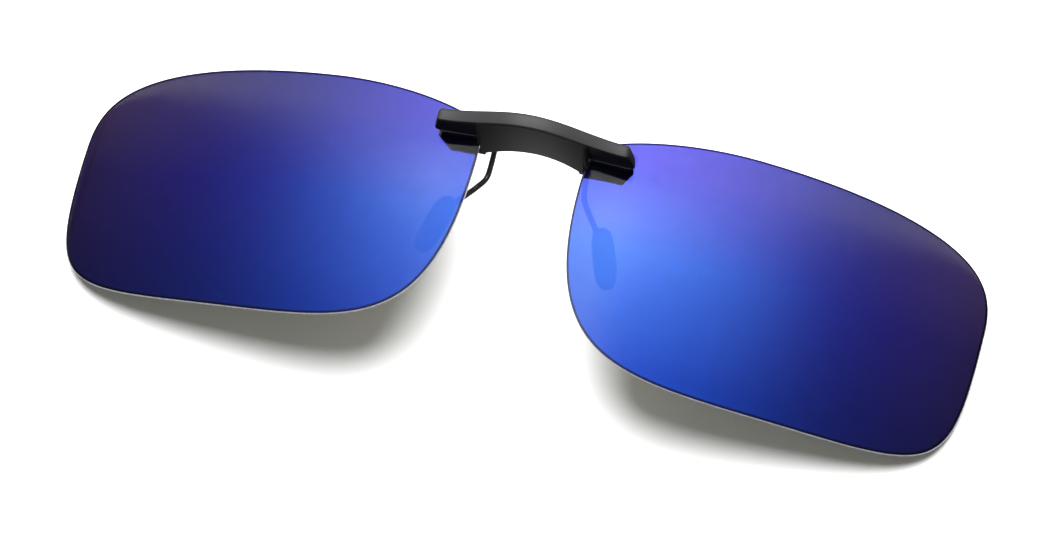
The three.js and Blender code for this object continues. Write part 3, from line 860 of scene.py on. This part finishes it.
def groove_corners(front_edge, heel):
    """The groove that sets the front strip off from the underside, from its rear wall to its front one."""
    along = (heel - front_edge).normalized()
    inward = Vector((-along.y, along.x))
    rear_wall = front_edge + along * GROOVE["end"]
    front_wall = front_edge + along * GROOVE["start"]
    sunk = inward * GROOVE["depth"]
    return [rear_wall, rear_wall + sunk, front_wall + sunk, front_wall]


def bar_ring(x):
    share = arch_share(x)
    pull = min(end_inset(x, BAR_END_X, BAR_END_ROUND), BAR_END_ROUND * 0.85)
    top = BAR_END["top"] + ARCH_RISE["top"] * share
    bottom = BAR_END["bottom"] + ARCH_RISE["bottom"] * share
    front = BAR_END["front"] + ARCH_RISE["front"] * share
    over_lens = -lens_depth(x, BAR_REAR_BOTTOM_Y) + 2 * GAP + SEAT
    tongue = smooth_step((TONGUE_X + TONGUE_BLEND / 2 - abs(x)) / TONGUE_BLEND)
    near = min(abs(x) / TONGUE_X, 1)
    rear = lerp(over_lens, TONGUE_REAR_Z, tongue)
    tongue_heel = TONGUE_REAR_Y - TONGUE_DROP * near ** 2
    underside = lerp(bottom, tongue_heel, (front - rear) / (front - TONGUE_REAR_Z))
    cheek = smooth_step((CHEEK_X + TONGUE_BLEND / 2 - abs(x)) / TONGUE_BLEND)
    heel = lerp(BAR_REAR_BOTTOM_Y, underside, cheek)
    crown = 0.1
    corners = [
        (bottom + pull, front - pull - crown),
        ((top + bottom) / 2, front - pull),
        (top - pull, front - pull - crown),
        (top - pull, rear + pull),
        (heel + pull, rear + pull),
    ]
    corners += groove_corners(Vector(corners[0]), Vector(corners[4]))
    loop = rounded(corners, [0.2, 0.5, 0.42, 0.3, 0.3, 0.04, 0.04, 0.04, 0.04])
    draft = DRAFT * max(0.0, abs(x) - DRAFT_START_X) / (BAR_END_X - DRAFT_START_X)

    def end_shift(y, z):
        lower = lerp(DRAFT_ABOVE, 1, (top - y) / (top - heel))
        return math.copysign(draft, x) * lower * (front - z) / (front - rear)

    return [(x + end_shift(p.x, p.y), p.x, p.y) for p in loop]


def bar_stations():
    """Close together at the rounded ends and at the sides of the tongue, from left to right."""
    ends = [BAR_END_X - BAR_END_ROUND * (1 - math.sin(math.pi / 2 * i / 8)) for i in range(8, 0, -1)]
    steps = [TONGUE_BLEND * (0.5 - i / 6) for i in range(7)]
    sides = [edge + step for edge in (TONGUE_X, CHEEK_X) for step in steps]
    plain = [0.5 * i for i in range(1, 28) if not TONGUE_X - 0.4 < 0.5 * i < CHEEK_X + 0.4]
    right = sorted(ends + sides + plain, reverse=True)
    return [-x for x in right] + [0.0] + right[::-1]


def make_bar():
    piece = mesh_of("bridge_bar_fine", loft([bar_ring(x) for x in bar_stations()]))
    hook = block(*HOOK, 0.15)
    carve(piece, "UNION", [hook, mirrored(hook)])
    holes = []
    for side in (-1, 1):
        for x in SCREW_X:
            rear = -lens_depth(x, BAR_REAR_BOTTOM_Y) + 2 * GAP + SEAT
            holes.append(rod_z(side * x, SCREW_Y, SCREW_HOLE_R, rear - 1, rear + BAR_HOLE_DEPTH))
    carve(piece, "DIFFERENCE", holes)
    hand_over(piece, "bridge", "bridge_plastic", [BRIDGE_PLASTIC])


# Back plate


def plate_front(x, y):
    return min(PLATE_MID_Z, -lens_depth(x, y) - LENS_THICKNESS - SEAT - 2 * GAP)


def plate_ring(x):
    share = arch_share(x)
    pull = min(end_inset(x, PLATE_END_X, PLATE_ROUND), PLATE_ROUND * 0.8)
    bottom = lerp(PLATE_END_Y[0], PLATE_MID_Y[0], share)
    top = lerp(PLATE_END_Y[1], PLATE_MID_Y[1], share)
    front = plate_front(x, top)
    rear = front - PLATE_THICKNESS
    corners = [(bottom + pull, front - pull), (top - pull, front - pull)]
    corners += [(top - pull, rear + pull), (bottom + pull, rear + pull)]
    return [(x, p.x, p.y) for p in rounded(corners, 0.3)]


def ear_corners():
    """The ear's outline in (Y, Z): a round nose about the pivot on a broad root."""
    arc = []
    for i in range(13):
        angle = math.pi + math.pi * i / 12
        arc.append((PIVOT_Y + EAR_R * math.cos(angle), PIVOT_Z + EAR_R * math.sin(angle)))
    return arc + [(PIVOT_Y + EAR_R - 0.6, EAR_ROOT_Z), (PIVOT_Y - EAR_R - 0.4, EAR_ROOT_Z)]


def make_plate():
    ends = [PLATE_END_X - PLATE_ROUND * (1 - math.sin(math.pi / 2 * i / 5)) for i in range(5, 0, -1)]
    plain = [0.6 * i for i in range(1, 24) if 0.6 * i < PLATE_END_X - PLATE_ROUND]
    right = sorted(ends + plain, reverse=True)
    stations = [-x for x in right] + [0.0] + right[::-1]
    piece = mesh_of("bridge_back_plate_fine", loft([plate_ring(x) for x in stations]))
    carve(piece, "UNION", [
        prism_x(ear_corners(), EAR_X[0], EAR_X[1], 0.05),
        prism_x(ear_corners(), -EAR_X[1], -EAR_X[0], 0.05),
    ])
    holes = [rod_x(BORE_R, -12, 12, 0)]
    holes += [rod_z(side * x, SCREW_Y, SCREW_HOLE_R, -9, 0) for side in (-1, 1) for x in SCREW_X]
    carve(piece, "DIFFERENCE", holes)
    hand_over(piece, "bridge", "bridge_plastic", [BRIDGE_PLASTIC])


# Fasteners


def make_screw(name, x, y, seat_z, shank_r, head_r, head, length, body):
    """A slotted pan-head screw whose head sits under seat_z and whose shank runs up +Z."""
    dome = []
    for i in range(7):
        angle = math.pi / 2 * i / 6
        radius = lerp(head_r * 0.62, head_r, math.sin(angle))
        dome.append((radius, seat_z - lerp(head * 0.35, head, math.cos(angle))))
    profile = dome + [(head_r, seat_z - 0.04), (head_r - 0.04, seat_z), (shank_r, seat_z)]
    threads = max(2, int((length - 0.5) / 0.25))
    for i in range(threads):
        start = seat_z + 0.25 + 0.25 * i
        profile += [(shank_r, start), (shank_r - 0.07, start + 0.125)]
    profile += [(shank_r, seat_z + length - 0.2), (shank_r * 0.5, seat_z + length)]
    piece = mesh_of(f"{name}_fine", turned_z(profile, x, y))
    low = seat_z - head - 0.2
    slot_x = (x - head_r * 1.2, x + head_r * 1.2)
    slot = block(slot_x, (y - 0.12, y + 0.12), (low, low + 0.2 + SCREW_SLOT), 0.01)
    carve(piece, "DIFFERENCE", [slot])
    hand_over(piece, body, "screw_steel", [SCREW_STEEL], 30)


def make_lens_screws():
    for place_name, x in zip(("inner", "outer"), SCREW_X):
        seat_z = plate_front(x, PLATE_END_Y[1]) - PLATE_THICKNESS - GAP
        tip = -lens_depth(x, BAR_REAR_BOTTOM_Y) + 2 * GAP + SEAT + BAR_HOLE_DEPTH - 0.4
        for side, sign in (("right", 1), ("left", -1)):
            make_screw(
                f"lens_screw_{place_name}_{side}", sign * x, SCREW_Y, seat_z,
                SCREW_R, SCREW_HEAD_R, SCREW_HEAD, tip - seat_z, "bridge",
            )


def make_pin():
    edge = 0.1
    profile = [
        (PIN_X[0], PIN_HEAD_R - 0.3), (PIN_X[0] + edge, PIN_HEAD_R - edge), (PIN_X[0] + 0.25, PIN_HEAD_R),
        (PIN_HEAD_X - 0.05, PIN_HEAD_R), (PIN_HEAD_X, PIN_HEAD_R - 0.05), (PIN_HEAD_X, PIN_R),
        (PIN_X[1] - 0.15, PIN_R), (PIN_X[1], PIN_R - 0.15),
    ]
    hand_over(mesh_of("hinge_pin_fine", turned_x(profile)), "bridge", "pin_steel", [PIN_STEEL], 30)
    retainer = ring_x(0.7, RING_R, *RETAINER_X)
    hand_over(mesh_of("pin_retainer_fine", retainer), "bridge", "pin_steel", [PIN_STEEL], 50)
    pair("hinge_washer", ring_x(0.72, RING_R, *WASHER_X), "bridge", "pin_steel", [PIN_STEEL], 50)


def make_spring():
    """The coil from its front point round to the back, then the two straight legs up from its ends."""
    path = []
    start = (-SPRING_X, PIVOT_Y, PIVOT_Z + SPRING_COIL_R)
    path += [Vector(start) + Vector((0, SPRING_LEG * (1 - i / 5), 0)) for i in range(5)]
    steps = 260
    for i in range(steps + 1):
        share = i / steps
        angle = -2 * math.pi * SPRING_TURNS * share
        y = PIVOT_Y + SPRING_COIL_R * math.sin(angle)
        z = PIVOT_Z + SPRING_COIL_R * math.cos(angle)
        path.append(Vector((lerp(-SPRING_X, SPRING_X, share), y, z)))
    path += [path[-1] + Vector((0, SPRING_LEG * i / 5, 0)) for i in range(1, 6)]
    shape = sweep(path, SPRING_WIRE_R, 12)
    hand_over(mesh_of("clip_spring_fine", shape), "bridge", "spring_steel", [SPRING_STEEL], 60)


# Clip


def lever_corners():
    root_y, root_z = LEVER_ROOT
    tip_y, tip_z = LEVER_TIP
    return [
        (PIVOT_Y - 0.9, PIVOT_Z - 1.1),
        (PIVOT_Y - 0.3, PIVOT_Z - 2.9),
        (root_y, root_z - LEVER_THICKNESS),
        (tip_y, tip_z - LEVER_THICKNESS),
        (tip_y + 0.35, tip_z - LEVER_THICKNESS / 2),
        (tip_y, tip_z),
        (root_y, root_z),
        (PIVOT_Y + 1.1, PIVOT_Z - 0.9),
    ]


def make_lever():
    piece = mesh_of("clip_lever_fine", prism_x(lever_corners(), -LEVER_X, LEVER_X, 0.3, 0.2))
    window = rod_x(SPRING_COIL_R + SPRING_WIRE_R + 0.4, -WINDOW_X, WINDOW_X, 0)
    leg_room = block((-WINDOW_X, WINDOW_X), (PIVOT_Y - 1, LEVER_ROOT[0] + 0.3), (PIVOT_Z - 1.8, PIVOT_Z), 0.1)
    carve(piece, "DIFFERENCE", [window, leg_room])
    for side in (-1, 1):
        spans = [sorted((side * a, side * b)) for a, b in ((WINDOW_X, BARREL_X), BOSS_X)]
        carve(piece, "UNION", [rod_x(BARREL_R, *spans[0]), block(spans[1], BOSS_Y, BOSS_Z)])
    holes = [rod_x(BORE_R, -10, 10, 0)]
    for side in (-1, 1):
        holes.append(rod_y(side * WIRE_X, -9.03, WIRE_HOLE_R, 11.9, 17.9))
        holes.append(rod_z(side * WIRE_X, WIRE_SCREW_Y, 0.5, -12, -9))
    carve(piece, "DIFFERENCE", holes)
    hand_over(piece, "clip", "clip_plastic", [CLIP_PLASTIC])


def make_grip():
    root_y, root_z = LEVER_ROOT
    tip_y, tip_z = LEVER_TIP
    slope = (tip_z - root_z) / (tip_y - root_y)

    def back_at(y):
        return root_z - LEVER_THICKNESS - GAP + slope * (y - root_y)

    start = root_y + 0.2
    end = tip_y - 0.1
    pitch = (end - start) / GRIP_RIBS
    corners = [(start, back_at(start))]
    for rib in range(GRIP_RIBS):
        y = start + rib * pitch
        corners.append((y + 0.1 * pitch, back_at(y) - GRIP_THICKNESS))
        corners.append((y + 0.6 * pitch, back_at(y) - GRIP_THICKNESS))
        corners.append((y + 0.75 * pitch, back_at(y) - GRIP_THICKNESS * 0.6))
    corners.append((end, back_at(end)))
    shape = prism_x(corners, -LEVER_X + 0.4, LEVER_X - 0.4, 0.06, 0.06)
    hand_over(mesh_of("lever_grip_fine", shape), "clip", "pad_rubber", [PAD_RUBBER])


def pad_frame():
    """The pad's own axes: across, along and out of its flat face, about its middle."""
    top = Vector(PAD_TOP)
    bottom = Vector(PAD_BOTTOM)
    along = (top - bottom).normalized()
    across = along.cross(Vector((0, 0, 1))).normalized()
    outward = across.cross(along)
    axes = Matrix((across, along, outward)).transposed().to_4x4()
    return Matrix.Translation((top + bottom) / 2) @ axes, (top - bottom).length


def pad_shape():
    """A long oval with a soft rim round its flat face."""
    axes, length = pad_frame()
    rings = []
    for i in range(1, 40):
        rise = -math.cos(math.pi * i / 40)
        fuller = (1 - rise ** 4) ** 0.5
        ring = []
        for j in range(48):
            angle = 2 * math.pi * j / 48
            x = fuller * PAD_WIDTH / 2 * math.cos(angle)
            z = fuller * PAD_DEPTH / 2 * math.sin(angle)
            over = z - PAD_FACE + 0.15
            if over > 0:
                z = PAD_FACE - 0.15 + 0.15 * (1 - math.exp(-over / 0.15))
            ring.append(axes @ Vector((x, rise * length / 2, z)))
        rings.append(ring)
    return loft(rings)


def make_wires_and_pads():
    path = spline(WIRE_ROUTE, 14)
    pair("wire_arm", sweep(path, WIRE_R, 24), "clip", "black_wire", [BLACK_WIRE], 60)
    pad = mesh_of("grip_pad_right_fine", pad_shape())
    bore = sweep(path, WIRE_R + 0.03, 20)
    carve(pad, "DIFFERENCE", [bore])
    left = mesh_of("grip_pad_left_fine", mirrored(pad_shape()))
    carve(left, "DIFFERENCE", [mirrored(bore)])
    for piece in (pad, left):
        hand_over(piece, "clip", "pad_rubber", [PAD_RUBBER], 50)
    for side, sign in (("right", 1), ("left", -1)):
        seat_z = BOSS_Z[0] - GAP
        make_screw(
            f"wire_screw_{side}", sign * WIRE_X, WIRE_SCREW_Y, seat_z, 0.4, 0.75, 0.45, 0.5, "clip",
        )


# Studio


def make_table():
    half = TABLE_SIZE / 2 * MM
    mesh = bpy.data.meshes.new("table")
    corners = [(-half, -half, 0), (half, -half, 0), (half, half, 0), (-half, half, 0)]
    mesh.from_pydata(corners, [], [(0, 1, 2, 3)])
    table = bpy.data.objects.new("table", mesh)
    bpy.context.scene.collection.objects.link(table)
    mesh.materials.append(white_table())
    table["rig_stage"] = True


def direction(azimuth, elevation):
    """From the object towards a camera or lamp; azimuth 0 is the side that -Y faces."""
    a = math.radians(azimuth)
    e = math.radians(elevation)
    return Vector((math.sin(a) * math.cos(e), -math.cos(a) * math.cos(e), math.sin(e)))


def make_room():
    """White all round. What the eye and the mirror see is brighter than what reaches dull surfaces."""
    world = bpy.data.worlds.new("room")
    bpy.context.scene.world = world
    world.use_nodes = True
    world.cycles.sampling_method = "NONE"
    tree = world.node_tree
    path = tree.nodes.new("ShaderNodeLightPath")
    later = tree.nodes.new("ShaderNodeMath")
    later.operation = "GREATER_THAN"
    later.inputs[1].default_value = 2.5
    tree.links.new(path.outputs["Ray Depth"], later.inputs[0])
    dull = tree.nodes.new("ShaderNodeMath")
    dull.operation = "MAXIMUM"
    tree.links.new(path.outputs["Is Diffuse Ray"], dull.inputs[0])
    tree.links.new(later.outputs[0], dull.inputs[1])
    strength = tree.nodes.new("ShaderNodeMapRange")
    tree.links.new(dull.outputs[0], strength.inputs["Value"])
    strength.inputs["To Min"].default_value = ROOM_SEEN
    strength.inputs["To Max"].default_value = ROOM_ON_SURFACES
    background = tree.nodes["Background"]
    background.inputs["Color"].default_value = (1, 1, 1, 1)
    tree.links.new(strength.outputs[0], background.inputs["Strength"])


def make_lamp(name, azimuth, elevation, size, power):
    """A round diffuser facing the object."""
    lamp = bpy.data.lights.new(name, "AREA")
    lamp.shape = "DISK"
    lamp.size = size * MM
    lamp.energy = power
    holder = bpy.data.objects.new(name, lamp)
    bpy.context.scene.collection.objects.link(holder)
    towards = direction(azimuth, elevation)
    holder.location = towards * LAMP_DISTANCE * MM
    holder.rotation_mode = "QUATERNION"
    holder.rotation_quaternion = towards.to_track_quat("Z", "Y")
    return holder


def make_lamps():
    """A large softbox that casts the lenses' shadows, and one whose gloss shows on the black pieces."""
    softbox = make_lamp("softbox", SOFTBOX_AZIMUTH, SOFTBOX_ELEVATION, SOFTBOX_SIZE, SOFTBOX_POWER)
    softbox.visible_glossy = False
    glint = make_lamp("glint", GLINT_AZIMUTH, GLINT_ELEVATION, GLINT_SIZE, GLINT_POWER)
    black_pieces = bpy.data.collections.new("black_pieces")
    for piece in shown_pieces():
        if piece.get("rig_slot") in ("bridge_plastic", "clip_plastic", "pad_rubber", "black_wire"):
            black_pieces.objects.link(piece)
    glint.light_linking.receiver_collection = black_pieces
    lenses = bpy.data.collections.new("lenses")
    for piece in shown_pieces():
        if piece.get("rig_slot") == "mirror_lens":
            lenses.objects.link(piece)
    softbox.light_linking.blocker_collection = lenses


def make_camera():
    camera = bpy.data.cameras.new("camera")
    camera.lens = FOCAL_LENGTH
    camera.sensor_width = 36
    camera.clip_start = 0.01
    holder = bpy.data.objects.new("camera", camera)
    bpy.context.scene.collection.objects.link(holder)
    back = direction(CAMERA_AZIMUTH, CAMERA_ELEVATION)
    level = Vector((math.cos(math.radians(CAMERA_AZIMUTH)), math.sin(math.radians(CAMERA_AZIMUTH)), 0))
    right = Matrix.Rotation(math.radians(CAMERA_ROLL), 3, back) @ level
    up = back.cross(right)
    axes = Matrix((right, up, back)).transposed().to_4x4()
    holder.matrix_world = Matrix.Translation(place(*AIM) + back * CAMERA_DISTANCE * MM) @ axes
    bpy.context.scene.camera = holder


make_camera()
make_room()
make_table()
make_lenses()
pair("front_seat", seat_shape(FRONT_SEAT_X, FRONT_SEAT_Y, GAP), "bridge", "seat_rubber", [SEAT_RUBBER])
rear_rise = -LENS_THICKNESS - GAP - SEAT
pair("rear_seat", seat_shape(REAR_SEAT_X, REAR_SEAT_Y, rear_rise), "bridge", "seat_rubber", [SEAT_RUBBER])
make_bar()
make_plate()
make_lens_screws()
make_pin()
make_spring()
make_lever()
make_grip()
make_wires_and_pads()
make_lamps()
bpy.context.scene.view_settings.view_transform = "Standard"
